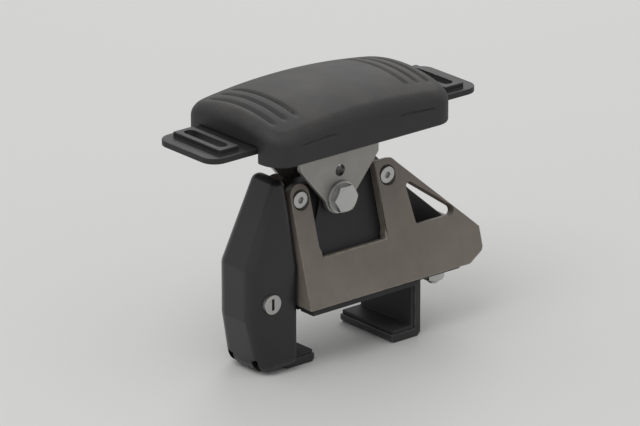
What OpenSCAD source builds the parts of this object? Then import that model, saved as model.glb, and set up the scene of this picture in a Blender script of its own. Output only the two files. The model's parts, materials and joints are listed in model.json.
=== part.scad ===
// Kayak saddle carrier: one saddle that clamps on a flat roof bar
// Millimetres. +X runs outboard along the bar, -Y is the vehicle's front, +Z is up.
// The origin is the centre of the seat, on top of the bar.

/* [Roof bar] */
// Width of the bar, front edge to rear edge
bar_w = 70; // [60:1:80]
// Thickness of the bar
bar_t = 24; // [20:1:28]
// Thickness of the rubber seat between bar and frame
seat_t = 3; // [2:0.5:5]
// Thickness of the rubber liners inside the two jaws
liner_t = 2; // [1.5:0.5:3]

/* [Frame] */
// Width of the frame along the bar, at its foot
frame_w = 54; // [50:1:64]
// Inward lean of each cheek, in degrees
cheek_lean = 16; // [13:0.5:17]
// Thickness of a cheek
cheek_t = 5; // [4:0.5:6]
// Height of the frame's posts above the seat
post_h = 61; // [58:1:66]
// Height of the rail under the side window
rail_h = 25; // [22:1:28]
// Width of the front post
front_post_w = 12; // [10:1:14]
// Width of the rear post
rear_post_w = 16; // [12:1:18]
// Width of the side window between the posts
window_w = 43; // [40:1:48]
// Length of the tail behind the rear post
tail_l = 43; // [40:1:55]
// Thickness of the frame's floor
floor_t = 10; // [9:0.5:12]

/* [Pitch pivot] */
// Height of the pitch axis above the top of the bar
pitch_z = 54; // [52:0.5:57]
// Set-back of the pitch axis ahead of the bar's middle
pitch_lead = 8; // [6:0.5:10]
// Diameter of the pitch bolt
pitch_d = 8; // [6:0.5:9]
// Half width of the post's boss
boss_half_w = 11; // [11:0.5:13]
// Radius of the boss and of the yoke's lower end
boss_r = 9; // [8.5:0.5:10]

/* [Yoke] */
// Length of the yoke's top plate
yoke_l = 50; // [46:1:56]
// Height of the yoke from the pitch axis to the top plate's upper face
yoke_h = 26; // [25:0.5:30]
// Thickness of the yoke's steel
yoke_t = 3; // [2.5:0.5:4]
// Outer bend radius of the yoke
yoke_bend_r = 5; // [4.5:0.5:6]
// Diameter of the hole in the middle of each ear
ear_hole_d = 6; // [4:0.5:7]

/* [Tray and pad] */
// Diameter of the roll pin
roll_d = 6; // [5:0.5:7]
// Height of the roll axis above the yoke's top plate
roll_rise = 5; // [4.8:0.1:6]
// Height of the tray's underside above the roll axis
tray_rise = 6; // [6:0.5:8]
// Thickness of the tray
tray_t = 3; // [2.5:0.5:4]
// Width of the tray under the pad
tray_w = 60; // [54:1:64]
// Width of the strap wings
wing_w = 44; // [40:1:50]
// Overall length of the tray with its wings
tray_l = 172; // [164:1:186]
// Length of the pad
pad_l = 116; // [108:1:126]
// Width of the pad
pad_w = 74; // [70:1:78]
// Height of the pad's crown above the tray
pad_h = 18; // [15:0.5:22]
// Drop of the pad's skirt below the tray's upper face
skirt_drop = 8; // [6:0.5:8]
// Radius of the pad's crown across its width
crown_r = 88; // [75:1:120]
// Radius of the pad's crown along its length
camber_r = 330; // [280:5:500]
// Length of the strap slots, across the tray
slot_l = 30; // [28:1:33]
// Width of the strap slots
slot_w = 6; // [5.5:0.5:8]

/* [Clamp] */
// Diameter of the clamp screw
screw_d = 6; // [5:0.5:7]
// Height of the clamp screw above the top of the bar
screw_z = 28; // [26:0.5:30]
// Length of the clamp screw
screw_l = 62; // [56:1:70]
// Outer radius of the clamp knob
knob_r = 11; // [10.5:0.25:11.5]
// Thickness of the clamp knob
knob_t = 8; // [7:0.5:8.5]
// Half width of the front jaw
jaw_half_w = 12.5; // [12:0.5:13]
// Half width of the rear jaw
rear_jaw_half_w = 20; // [18:0.5:24]
// Thickness of the jaws' steel
jaw_t = 4; // [3.5:0.5:5]
// Reach of the jaws' lips under the bar
lip_reach = 15; // [12:1:18]

/* [Cover and lock] */
// Thickness of the cover's wall
cover_wall = 2.2; // [1.8:0.1:2.6]
// Greatest half width of the cover
cover_half_w = 17.5; // [17.5:0.5:19]
// How far the cover stands out ahead of the bar
cover_depth = 28; // [28:0.5:31]
// Height of the cover's tip above the bar
cover_top = 68; // [64:1:69]
// Diameter of the cover's hinge pin
hinge_d = 5; // [4:0.5:6]
// Diameter of the lock cylinder
lock_d = 10; // [9:0.5:11]
// Height of the lock above the top of the bar
lock_z = 8; // [6:0.5:8.5]
// Length of the lock's cam from its axis
cam_l = 10; // [9.5:0.25:10.5]

/* [Hidden] */
$fn = 48;

// Clearances: running fits, gaps between moving pieces, and a cut's overshoot
run_fit = 0.05;
move_gap = 0.3;
over = 1;

// Frame lines along Y
frame_front = -bar_w / 2 - 1;
window_front = frame_front + front_post_w;
window_rear = window_front + window_w;
post_rear = window_rear + rear_post_w;
frame_rear = post_rear + tail_l;
floor_top = seat_t + floor_t;
tail_h = 17;
tail_lift = 6;
tail_ramp = 10;
web_t = 8;
tail_rib_t = 8;
web_inset = 0.6;
web_top = screw_z + 11;

// Face positions of a leaning cheek at a height above the bar
function cheek_out(z) = frame_w / 2 - (z - seat_t) * tan(cheek_lean);
function cheek_in(z) = cheek_out(z) - cheek_t / cos(cheek_lean);

// Pivot positions
pitch_y = -pitch_lead;
yoke_top = pitch_z + yoke_h;
roll_z = yoke_top + roll_rise;
tray_under = roll_z + tray_rise;
tray_top = tray_under + tray_t;
pad_top = tray_top + pad_h;
disc_t = 1.4;
ear_in = boss_half_w + disc_t + 0.1;
ear_out = ear_in + yoke_t;
washer_t = 1.6;
pitch_head_af = 13;
pitch_head_h = 4;
pitch_nut_h = 6.5;
lug_t = 3;
lug_r = 4.6;
lug_gap = 0.4;

// Grooves under the seat
groove_gap = 10;
groove_w = 2;

// Frame bolts
frame_bolt_z = seat_t + post_h - 8;
frame_bolt_d = 5;
frame_bolt_ys = [frame_front + front_post_w / 2, window_rear + rear_post_w / 2 - 1];
frame_bolt_seat = cheek_out(frame_bolt_z) - 2.8;
frame_head_r = 4.5;
frame_head_h = 2.8;
frame_nut_af = 8;
frame_nut_h = 3.2;

// Jaws
jaw_front = -bar_w / 2 - liner_t - jaw_t;
jaw_back = -bar_w / 2 - liner_t;
lip_top = -bar_t - liner_t;
lip_t = jaw_t + 0.5;
lip_under = lip_top - lip_t;
tongue_w = 2 * jaw_half_w - 1;
tongue_t = 5;
tongue_z = seat_t + 2.5;
tongue_l = 34;
tongue_clear = 0.3;

// Rear jaw bolts
rear_bolt_d = 6;
rear_bolt_x = 12;
rear_bolt_y = bar_w / 2 + liner_t + jaw_t + 15;
rear_flange_l = 26;
nut_h = 5;
nut_af = 10;
head_h = 4;

// Clamp screw stack, from the jaw towards the front
washer_front = jaw_front - 1.6;
knob_back = washer_front - 0.1;
hub_l = 3;
hub_r = 7;
knob_washer_r = 8;
scallops = 7;
scallop_r = 4.6;
scallop_out = 2.6;
knob_front = knob_back - hub_l - knob_t;
nut_y = frame_front + web_t;
clip_t = 0.8;
clip_r = 5.2;

// Cover
hinge_y = jaw_front - 9;
hinge_z = lip_under + 8.5;
knuckle_r = 8.2;
cover_front = -bar_w / 2 - cover_depth;
cover_back = jaw_back - 0.5;
lug_x = [jaw_half_w - 5, jaw_half_w - 1.5];
pin_wall = 3;
pin_sunk = 1.4;
cover_tip_w = 10.5;
cover_shoulder_z = 24;
cover_nose = 2.5;
lock_y = cover_front + 11;
lock_r = lock_d / 2;
lock_face = cover_half_w - 0.5;
lock_in = 9;
cam_t = 3;
cam_half_w = 3;
keeper_x = [lock_in - cam_t - 0.5, lock_in + 0.5];

// Strap slots, as a distance from the middle of the tray
slot_y = tray_l / 2 - 14;

// Screws that hold the pad
pad_screw_d = 4;
pad_screw_depth = 7;
pad_head_d = 8;
pad_head_h = 1.4;
pad_screw_places = [for (x = [-22, 22], y = [-42, 42]) [x, y]];

// Hexagonal prism along Z, by its width across flats
module hex_prism(af, h) {
    cylinder(r = af / sqrt(3), h = h, $fn = 6);
}

// Cylinder along X from x0 to x1
module rod_x(r, x0, x1) {
    translate([x0, 0, 0]) rotate([0, 90, 0]) cylinder(r = r, h = x1 - x0);
}

// Cylinder along Y from y0 to y1
module rod_y(r, y0, y1) {
    translate([0, y0, 0]) rotate([-90, 0, 0]) cylinder(r = r, h = y1 - y0);
}

// Box by its lowest and highest corners
module span(low, high) {
    translate(low) cube(high - low);
}

// Outline of a side profile (Y, Z) carried along X from x0 to x1
module side_plate(x0, x1) {
    translate([x0, 0, 0]) rotate([90, 0, 90]) linear_extrude(x1 - x0) children();
}

// Both sides of the saddle
module both_sides() {
    children();
    mirror([1, 0, 0]) children();
}

// Side profile of a cheek, with its Z counted up the leaning face
module cheek_profile() {
    up = 1 / cos(cheek_lean);
    top = post_h * up;
    difference() {
        union() {
            polygon([
                [frame_front, 0], [frame_rear - tail_ramp, 0],
                [frame_rear - 1, tail_lift - 1], [frame_rear, tail_lift + 1],
                [frame_rear, tail_h], [frame_rear - 4, tail_h + 4],
                [post_rear - 1, top - 4], [post_rear - 5, top],
                [window_rear - over, top], [window_rear - over, rail_h],
                [window_front + over, rail_h], [window_front + over, top - 6],
                [frame_front, top - 6]
            ]);
            translate([frame_front + front_post_w / 2, top - 6]) circle(front_post_w / 2);
        }
        // Side window, open at the top, with round lower corners
        translate([window_front, rail_h * up + 5]) square([window_w, top]);
        translate([window_front + 5, rail_h * up]) square([window_w - 10, top]);
        for (y = [window_front + 5, window_rear - 5])
            translate([y, rail_h * up + 5]) circle(5);
        // Triangle behind the rear post
        tri_hole(up);
    }
}

// Triangular lightening hole of the tail, with round corners
module tri_hole(up) {
    r = 2.5;
    low = (rail_h + 1) * up + r;
    pts = [
        [post_rear + 1 + r, low + 17], [post_rear + 3 + r, low], [post_rear + 26, low]
    ];
    hull() for (p = pts) translate(p) circle(r);
}

// Grey moulded frame that stands on the bar
module base_frame() {
    color([0.55, 0.53, 0.5])
    difference() {
        union() {
            both_sides()
                translate([frame_w / 2, 0, seat_t]) rotate([0, -cheek_lean, 0])
                    side_plate(-cheek_t, 0) cheek_profile();
            frame_inner();
        }
        // Flat foot
        span([-frame_w, frame_front - over, -20], [frame_w, frame_rear + over, seat_t]);
        // Slot for the front jaw's tongue
        span([-tongue_w / 2 - tongue_clear, frame_front - over, tongue_z - tongue_clear],
             [tongue_w / 2 + tongue_clear, frame_front + tongue_l + 2,
              tongue_z + tongue_t + tongue_clear]);
        // Way through for the clamp screw, and the seat of its nut
        translate([0, 0, screw_z])
            rod_y(screw_d / 2 + 0.4, frame_front - over, nut_y + over);
        translate([0, nut_y - nut_h, screw_z]) rotate([-90, 30, 0])
            hex_prism(nut_af + 0.2, nut_h + over);
        // Holes for the rear jaw's bolts
        for (x = [-rear_bolt_x, rear_bolt_x])
            translate([x, rear_bolt_y, 0]) cylinder(d = rear_bolt_d + 0.4, h = 60, center = true);
        // Spot faces and holes for the frame bolts
        for (y = frame_bolt_ys) translate([0, y, frame_bolt_z]) {
            rod_x(frame_bolt_d / 2 + 0.2, -frame_w, frame_w);
            rod_x(frame_head_r + 0.6, frame_bolt_seat, frame_w);
            rod_x(frame_head_r + 0.6, -frame_w, -frame_bolt_seat);
        }
    }
}

// Section of the space between the cheeks, from z0 to z1, sunk into both of them by a depth
module between_cheeks(z0, z1, into = 0) {
    polygon([
        [-cheek_in(z0) - into, z0], [cheek_in(z0) + into, z0],
        [cheek_in(z1) + into, z1], [-cheek_in(z1) - into, z1]
    ]);
}

// Floor, front web and rear web of the frame
module frame_inner() {
    // Floor, lifted a little at its rear end
    difference() {
        translate([0, frame_rear - 2, 0]) rotate([90, 0, 0])
            linear_extrude(frame_rear - 2 - frame_front - web_inset)
                between_cheeks(seat_t - over, floor_top, cheek_t / 2);
        side_plate(-frame_w, frame_w) polygon([
            [frame_rear - tail_ramp, seat_t], [frame_rear - tail_ramp, seat_t - 2 * over],
            [frame_rear + over, seat_t - 2 * over], [frame_rear + over, seat_t + tail_lift],
            [frame_rear - 1, seat_t + tail_lift - 1]
        ]);
    }
    // Front web
    translate([0, frame_front + web_t, 0]) rotate([90, 0, 0])
        linear_extrude(web_t - web_inset) between_cheeks(floor_top - over, web_top, cheek_t / 2);
    // Rear web
    translate([0, frame_rear - 1, 0]) rotate([90, 0, 0])
        linear_extrude(4) between_cheeks(floor_top - over, seat_t + tail_h - 1, cheek_t / 2);
}

// Black post between the cheeks, which carries the pitch pivot
module core_post() {
    core_front = frame_front + web_t;
    core_top = frame_bolt_z + 4.5;
    color([0.09, 0.09, 0.09])
    difference() {
        union() {
            intersection() {
                translate([0, post_rear, 0]) rotate([90, 0, 0])
                    linear_extrude(post_rear - frame_front)
                        between_cheeks(floor_top - over, core_top + over);
                side_plate(-frame_w, frame_w) polygon([
                    [core_front, floor_top], [post_rear - 2, floor_top],
                    [post_rear - 2, core_top - 5], [post_rear - 7, core_top],
                    [frame_front + 2, core_top], [frame_front + 2, web_top],
                    [core_front, web_top]
                ]);
            }
            // Rib that runs back between the cheeks
            side_plate(-tail_rib_t / 2, tail_rib_t / 2) polygon([
                [post_rear - 3, floor_top], [frame_rear - 5, floor_top],
                [frame_rear - 5, seat_t + tail_h - 1], [post_rear - 3, core_top - 6]
            ]);
            // Pivot boss and its neck
            translate([0, pitch_y, pitch_z]) rod_x(boss_r, -boss_half_w, boss_half_w);
            side_plate(-boss_half_w, boss_half_w) polygon([
                [pitch_y - boss_r, pitch_z], [pitch_y + boss_r, pitch_z],
                [pitch_y + boss_r + 4, rail_h + 14], [pitch_y - boss_r - 4, rail_h + 14]
            ]);
        }
        translate([0, pitch_y, pitch_z]) rod_x(pitch_d / 2 + 2, -30, 30);
        // Tunnel for the clamp screw's end
        translate([0, 0, screw_z]) rod_y(screw_d / 2 + 1, core_front - over, screw_end() + 4);
        for (y = frame_bolt_ys)
            translate([0, y, frame_bolt_z]) rod_x(frame_bolt_d / 2 + 0.2, -30, 30);
    }
}

// Rear end of the clamp screw
function screw_end() = knob_front + head_h + screw_l;

// Cross bolts that hold the cheeks against the post
module frame_bolts() {
    color([0.5, 0.5, 0.5])
    for (y = frame_bolt_ys) translate([0, y, frame_bolt_z]) {
        difference() {
            rod_x(frame_head_r, frame_bolt_seat, frame_bolt_seat + frame_head_h);
            translate([frame_bolt_seat + frame_head_h - 2, 0, 0]) rotate([0, 90, 0])
                hex_prism(3, 3);
        }
        rod_x(frame_bolt_d / 2, -frame_bolt_seat - 3.6, frame_bolt_seat);
    }
}

// Nuts of the cross bolts, on the inboard cheek
module frame_nuts() {
    color([0.5, 0.5, 0.5])
    for (y = frame_bolt_ys) translate([-frame_bolt_seat, y, frame_bolt_z])
        rotate([0, -90, 0]) difference() {
            hex_prism(frame_nut_af, frame_nut_h);
            translate([0, 0, -over]) cylinder(r = frame_bolt_d / 2 + run_fit, h = 6);
        }
}

// Rubber seat on top of the bar
module bar_seat_pad() {
    half_l = bar_w / 2 - 1;
    half_w = frame_w / 2 - 1;
    color([0.06, 0.06, 0.06])
    difference() {
        span([-half_w, -half_l, 0], [half_w, half_l, seat_t]);
        // Shallow grooves that run across the bar
        for (x = [-groove_gap * 1.5:groove_gap:groove_gap * 1.5])
            span([x - groove_w / 2, -half_l - over, -over], [x + groove_w / 2, half_l + over, 0.8]);
    }
}

// Section of a jaw: leg beside the bar and lip under it
module jaw_leg_section(top) {
    polygon([
        [0, top], [jaw_t, top], [jaw_t, lip_top], [jaw_t + lip_reach, lip_top],
        [jaw_t + lip_reach, lip_top - lip_t + 1.5], [jaw_t + lip_reach - 1.5, lip_under],
        [2, lip_under], [0, lip_under + 2]
    ]);
}

// Fixed steel hook behind the bar
module rear_jaw() {
    back = bar_w / 2 + liner_t + jaw_t;
    color([0.12, 0.12, 0.12])
    difference() {
        union() {
            side_plate(-rear_jaw_half_w, rear_jaw_half_w)
                translate([back, 0]) mirror([1, 0]) jaw_leg_section(seat_t);
            span([-rear_jaw_half_w, back - over, seat_t - jaw_t],
                 [rear_jaw_half_w, back + rear_flange_l, seat_t]);
        }
        for (x = [-rear_bolt_x, rear_bolt_x])
            translate([x, rear_bolt_y, 0]) cylinder(d = rear_bolt_d + 0.4, h = 20, center = true);
    }
}

// Rubber liner of the rear jaw
module rear_jaw_liner() {
    color([0.06, 0.06, 0.06])
    liner_strip(rear_jaw_half_w - 0.5, 1);
}

// Liner strip on the rear (1) or front (-1) side of the bar
module liner_strip(half_w, side) {
    inner = bar_w / 2;
    outer = inner + liner_t;
    tip = outer - lip_reach + 1;
    side_plate(-half_w, half_w) polygon([
        [side * inner, -3], [side * outer, -3], [side * outer, lip_top],
        [side * tip, lip_top], [side * tip, -bar_t], [side * inner, -bar_t]
    ]);
}

// Bolts that hold the rear jaw to the frame's tail
module rear_jaw_bolts() {
    under = seat_t - jaw_t;
    color([0.62, 0.62, 0.6])
    for (x = [-rear_bolt_x, rear_bolt_x]) translate([x, rear_bolt_y, 0]) {
        translate([0, 0, floor_top]) hex_prism(nut_af, head_h);
        translate([0, 0, under - nut_h - 2]) cylinder(d = rear_bolt_d, h = floor_top - under + nut_h + 2);
    }
}

// Nuts under the rear jaw's flange
module rear_jaw_nuts() {
    color([0.7, 0.7, 0.68])
    for (x = [-rear_bolt_x, rear_bolt_x])
        translate([x, rear_bolt_y, seat_t - jaw_t - nut_h]) difference() {
            hex_prism(nut_af, nut_h);
            translate([0, 0, -over])
                cylinder(r = rear_bolt_d / 2 + run_fit, h = nut_h + 2 * over);
        }
}

// Nut of the clamp screw, held in the frame's front web
module clamp_nut() {
    color([0.7, 0.7, 0.68])
    translate([0, nut_y - nut_h, screw_z]) rotate([-90, 30, 0]) difference() {
        hex_prism(nut_af, nut_h);
        translate([0, 0, -over]) cylinder(r = screw_d / 2 + run_fit, h = nut_h + 2 * over);
    }
}

// Bush of the pitch pivot, pressed into the post
module pitch_bush() {
    color([0.85, 0.85, 0.8])
    translate([0, pitch_y, pitch_z]) difference() {
        rod_x(pitch_d / 2 + 2, -boss_half_w, boss_half_w);
        rod_x(pitch_d / 2 + run_fit, -30, 30);
    }
}

// Friction discs between the post's boss and the yoke's ears
module friction_discs() {
    color([0.2, 0.2, 0.2])
    both_sides() translate([0, pitch_y, pitch_z]) difference() {
        rod_x(boss_r - 0.5, boss_half_w, boss_half_w + disc_t);
        rod_x(pitch_d / 2 + 0.2, 0, 30);
    }
}

// Front jaw: hook, guide tongue, hinge lugs and the lock's keeper
module front_jaw() {
    plate_top = screw_z + 9;
    color([0.12, 0.12, 0.12])
    difference() {
        union() {
            side_plate(-jaw_half_w, jaw_half_w)
                translate([jaw_front, 0]) jaw_leg_section(screw_z - 8);
            // Head of the plate round the screw
            translate([0, jaw_front + jaw_t, 0]) rotate([90, 0, 0]) linear_extrude(jaw_t) polygon([
                [-jaw_half_w, screw_z - 8 - over], [jaw_half_w, screw_z - 8 - over],
                [jaw_half_w, screw_z - 8], [jaw_half_w - 4, plate_top], [4 - jaw_half_w, plate_top],
                [-jaw_half_w, screw_z - 8]
            ]);
            // Tongue that slides in the frame's floor
            span([-tongue_w / 2, jaw_back - over, tongue_z],
                 [tongue_w / 2, frame_front + tongue_l, tongue_z + tongue_t]);
            // Hinge lugs of the cover
            both_sides() {
                translate([0, hinge_y, hinge_z]) rod_x(hinge_d / 2 + 2.5, lug_x[0], lug_x[1]);
                span([lug_x[0], hinge_y, hinge_z - hinge_d / 2],
                     [lug_x[1], jaw_front + over, hinge_z + hinge_d / 2 + 2.5]);
            }
            // Keeper behind which the lock's cam turns
            keeper();
        }
        both_sides() translate([0, hinge_y, hinge_z])
            rod_x(hinge_d / 2 + run_fit, lug_x[0] - over, lug_x[1] + over);
        translate([0, 0, screw_z]) {
            rod_y(screw_d / 2 + 0.2, jaw_front - over, jaw_back + over);
            rod_y(clip_r + 0.6, jaw_back - 1.6, jaw_back + over);
        }
    }
}

// Arm with an upturned tooth, ahead of the jaw
module keeper() {
    tip = lock_y - cam_half_w - 0.5;
    top = lock_z - cam_l + 3.5;
    low = lock_z - cam_l - 4.5;
    side_plate(keeper_x[0], keeper_x[1]) polygon([
        [jaw_front + over, low - 4], [tip - 2.5, low - 2], [tip - 2.5, top],
        [tip, top], [tip, low + 2], [jaw_front + over, low + 2]
    ]);
}

// Rubber liner of the front jaw
module front_jaw_liner() {
    color([0.06, 0.06, 0.06])
    liner_strip(jaw_half_w - 0.5, -1);
}

// Washer under the knob
module clamp_washer() {
    color([0.7, 0.7, 0.68])
    translate([0, 0, screw_z]) difference() {
        rod_y(knob_washer_r, washer_front, jaw_front);
        rod_y(screw_d / 2 + 0.2, washer_front - over, jaw_front + over);
    }
}

// Hinge pin of the cover
module cover_pin() {
    color([0.7, 0.7, 0.68])
    translate([0, hinge_y, hinge_z])
        rod_x(hinge_d / 2, pin_sunk - cover_half_w, cover_half_w - pin_wall - 0.2);
}

// Knob with finger scallops
module clamp_knob() {
    color([0.1, 0.1, 0.1])
    translate([0, 0, screw_z]) difference() {
        union() {
            rod_y(knob_r, knob_front, knob_back - hub_l);
            rod_y(hub_r, knob_back - hub_l - over, knob_back);
        }
        for (i = [0:scallops - 1]) rotate([0, (i + 0.5) * 360 / scallops, 0])
            translate([knob_r + scallop_out, 0, 0])
                rod_y(scallop_r, knob_front - over, knob_back - hub_l + over);
        rod_y(screw_d / 2 + run_fit, knob_front - over, knob_back + over);
        translate([0, knob_front - over, 0]) rotate([-90, 0, 0])
            hex_prism(nut_af + 0.1, head_h + over);
    }
}

// Clamp screw, with its hexagonal head sunk in the knob
module clamp_screw() {
    color([0.7, 0.7, 0.68])
    translate([0, 0, screw_z]) {
        translate([0, knob_front, 0]) rotate([-90, 0, 0]) hex_prism(nut_af, head_h);
        difference() {
            rod_y(screw_d / 2, knob_front + head_h, screw_end());
            // Groove for the clip
            difference() {
                rod_y(screw_d, jaw_back - 1.4, jaw_back - 1.4 + clip_t);
                rod_y(screw_d / 2 - 0.5, jaw_back - 3, jaw_back + 3);
            }
        }
    }
}

// Clip that makes the jaw follow the screw back
module screw_clip() {
    color([0.35, 0.35, 0.35])
    translate([0, 0, screw_z]) difference() {
        rod_y(clip_r, jaw_back - 1.4, jaw_back - 1.4 + clip_t);
        rod_y(screw_d / 2 - 0.5, jaw_back - 3, jaw_back + 3);
        span([-screw_d / 2 + 0.6, jaw_back - 3, -9], [screw_d / 2 - 0.6, jaw_back + 3, 0]);
    }
}

// Solid form of the cover, thinner by a wall
module cover_form(wall) {
    tip_r = 4.5;
    front_r = 8;
    back_r = 6;
    hull() both_sides() {
        translate([cover_tip_w - tip_r, cover_back - 4, cover_top - tip_r])
            sphere(r = tip_r - wall, $fn = 32);
        for (z = [0, cover_shoulder_z])
            translate([cover_half_w - cover_nose - front_r, cover_front + front_r, z])
                sphere(r = front_r - wall, $fn = 32);
        for (z = [hinge_z, cover_shoulder_z])
            translate([cover_half_w - back_r, cover_back - 2, z]) sphere(r = back_r - wall, $fn = 32);
        translate([cover_half_w - knuckle_r - 0.8, hinge_y, hinge_z])
            sphere(r = knuckle_r - wall, $fn = 32);
    }
}

// Tapered cover ahead of the bar, over the knob
module clamp_cover() {
    color([0.07, 0.07, 0.07])
    difference() {
        union() {
            difference() {
                cover_form(0);
                cover_form(cover_wall);
            }
            // Boss round the lock
            intersection() {
                translate([0, lock_y, lock_z]) rod_x(lock_r + 1.6, lock_in + 0.6, cover_half_w);
                cover_form(0.3);
            }
            // Eyes round the hinge pin
            intersection() {
                both_sides() translate([0, hinge_y, hinge_z])
                    rod_x(hinge_d / 2 + 2.5, lug_x[1] + move_gap, cover_half_w);
                cover_form(0.3);
            }
        }
        // Open back
        span([-50, cover_back, -100], [50, 20, 200]);
        // Slots in which the jaw's lugs stay while the cover swings down
        both_sides() span([lug_x[0] - move_gap, hinge_y - knuckle_r, -100],
                          [lug_x[1] + move_gap, 20, hinge_z]);
        // Room for the jaw while the cover swings down
        difference() {
            span([-jaw_half_w - 0.6, hinge_y, -100], [jaw_half_w + 0.6, 20, hinge_z]);
            translate([0, hinge_y, hinge_z]) rod_x(knuckle_r, -50, 50);
        }
        translate([0, hinge_y, hinge_z])
            rod_x(hinge_d / 2 + run_fit, -50, cover_half_w - pin_wall);
        translate([0, lock_y, lock_z]) rod_x(lock_r + run_fit, 0, 50);
    }
}

// Lock cylinder with its keyway
module lock_cylinder() {
    color([0.75, 0.75, 0.72])
    translate([0, lock_y, lock_z]) difference() {
        union() {
            rod_x(lock_r, lock_in, lock_face);
            rod_x(2.5, lock_in - cam_t - 2, lock_in);
        }
        translate([lock_face - 5, -0.8, -3]) cube([6, 1.6, 6]);
    }
}

// Cam of the lock, clear of the keeper until the key turns
module lock_cam() {
    color([0.6, 0.6, 0.58])
    translate([lock_in - cam_t, lock_y, lock_z]) difference() {
        union() {
            rod_x(4.2, 0, cam_t);
            translate([0, 0, -cam_half_w]) cube([cam_t, cam_l, 2 * cam_half_w]);
        }
        rod_x(2.5 + run_fit, -over, cam_t + over);
    }
}

// Clip that holds the cam on the cylinder
module cam_clip() {
    color([0.35, 0.35, 0.35])
    translate([lock_in - cam_t - 1.2, lock_y, lock_z]) difference() {
        rod_x(4, 0, 1.2);
        rod_x(2.5 + run_fit, -over, 3);
    }
}

// Section of the yoke across the bar: an upside-down channel with round bends
module yoke_section() {
    w = ear_out;
    r = yoke_bend_r;
    difference() {
        union() {
            translate([-w, 0]) square([2 * w, yoke_top - r]);
            translate([-w + r, 0]) square([2 * (w - r), yoke_top]);
            for (x = [-w + r, w - r]) translate([x, yoke_top - r]) circle(r);
        }
        translate([-w + yoke_t, -over]) square([2 * (w - yoke_t), yoke_top - r + over]);
        translate([-w + r, -over]) square([2 * (w - r), yoke_top - yoke_t + over]);
        for (x = [-w + r, w - r]) translate([x, yoke_top - r]) circle(r - yoke_t);
    }
}

// Side outline of the yoke: a triangle with a round lower end
module yoke_outline() {
    run = yoke_l / 2;
    rise = yoke_h - 8;
    reach = sqrt(run * run + rise * rise);
    a = atan2(rise, run) - asin(boss_r / reach);
    touch = [boss_r * sin(a), -boss_r * cos(a)];
    translate([pitch_y, pitch_z]) {
        circle(boss_r);
        polygon([
            touch, [run, rise], [run, yoke_h + over], [-run, yoke_h + over],
            [-run, rise], [-touch[0], touch[1]]
        ]);
    }
}

// Steel yoke that pitches on the post
module yoke() {
    color([0.72, 0.72, 0.7])
    difference() {
        union() {
            intersection() {
                translate([0, 60, 0]) rotate([90, 0, 0]) linear_extrude(140) yoke_section();
                side_plate(-40, 40) yoke_outline();
            }
            // End lugs of the roll pin
            for (s = [-1, 1]) roll_lug(yoke_l / 2 - lug_t / 2, s, yoke_top - over, lug_r);
        }
        translate([0, pitch_y, pitch_z]) rod_x(pitch_d / 2 + run_fit, -40, 40);
        translate([0, pitch_y, pitch_z + yoke_h * 0.52]) rod_x(ear_hole_d / 2, -40, 40);
        translate([0, 0, roll_z]) rod_y(roll_d / 2 + run_fit, -100, 100);
    }
}

// Upright or hanging lug round the roll axis, reaching to a root height
module roll_lug(y, s, root, r) {
    mid = pitch_y + s * y;
    translate([0, 0, roll_z]) rod_y(r, mid - lug_t / 2, mid + lug_t / 2);
    span([-r, mid - lug_t / 2, min(root, roll_z)], [r, mid + lug_t / 2, max(root, roll_z)]);
}

// Pitch bolt, with its head outboard
module pitch_bolt() {
    color([0.6, 0.6, 0.58])
    translate([0, pitch_y, pitch_z]) {
        translate([ear_out + washer_t, 0, 0]) rotate([0, 90, 0]) hex_prism(pitch_head_af, pitch_head_h);
        rod_x(pitch_d / 2, -ear_out - washer_t - 8, ear_out + washer_t);
    }
}

// Lock nut of the pitch bolt, inboard
module pitch_nut() {
    color([0.6, 0.6, 0.58])
    translate([-ear_out - washer_t, pitch_y, pitch_z]) rotate([0, -90, 0]) difference() {
        hex_prism(pitch_head_af, pitch_nut_h);
        translate([0, 0, -over]) cylinder(r = pitch_d / 2 + run_fit, h = 10);
    }
}

// Washers outside the yoke's ears
module pitch_washers() {
    color([0.7, 0.7, 0.68])
    both_sides() translate([0, pitch_y, pitch_z]) difference() {
        rod_x(boss_r - 0.8, ear_out, ear_out + washer_t);
        rod_x(pitch_d / 2 + 0.2, 0, 40);
    }
}

// Roll pin along the yoke
module roll_pin() {
    end = yoke_l / 2 + 3;
    color([0.7, 0.7, 0.68])
    translate([0, pitch_y, roll_z]) rod_y(roll_d / 2, -end, end);
}

// Push-on clips at the roll pin's ends
module roll_clips() {
    color([0.35, 0.35, 0.35])
    for (s = [-1, 1]) translate([0, pitch_y + s * (yoke_l / 2 + 0.8), roll_z]) difference() {
        rod_y(lug_r, -0.8, 0.8);
        rod_y(roll_d / 2 + run_fit, -3, 3);
    }
}

// Plan outline of the tray: body and two strap wings with round corners
module tray_outline() {
    body_half = pad_l / 2 - 5;
    translate([-tray_w / 2, -body_half]) square([tray_w, 2 * body_half]);
    translate([-wing_w / 2, -tray_l / 2 + 8]) square([wing_w, tray_l - 16]);
    translate([-wing_w / 2 + 8, -tray_l / 2]) square([wing_w - 16, tray_l]);
    for (x = [-1, 1], y = [-1, 1])
        translate([x * (wing_w / 2 - 8), y * (tray_l / 2 - 8)]) circle(8);
}

// Strap slot with round ends
module slot_outline() {
    square([slot_l - slot_w, slot_w], center = true);
    for (x = [-1, 1]) translate([x * (slot_l - slot_w) / 2, 0]) circle(slot_w / 2);
}

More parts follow.
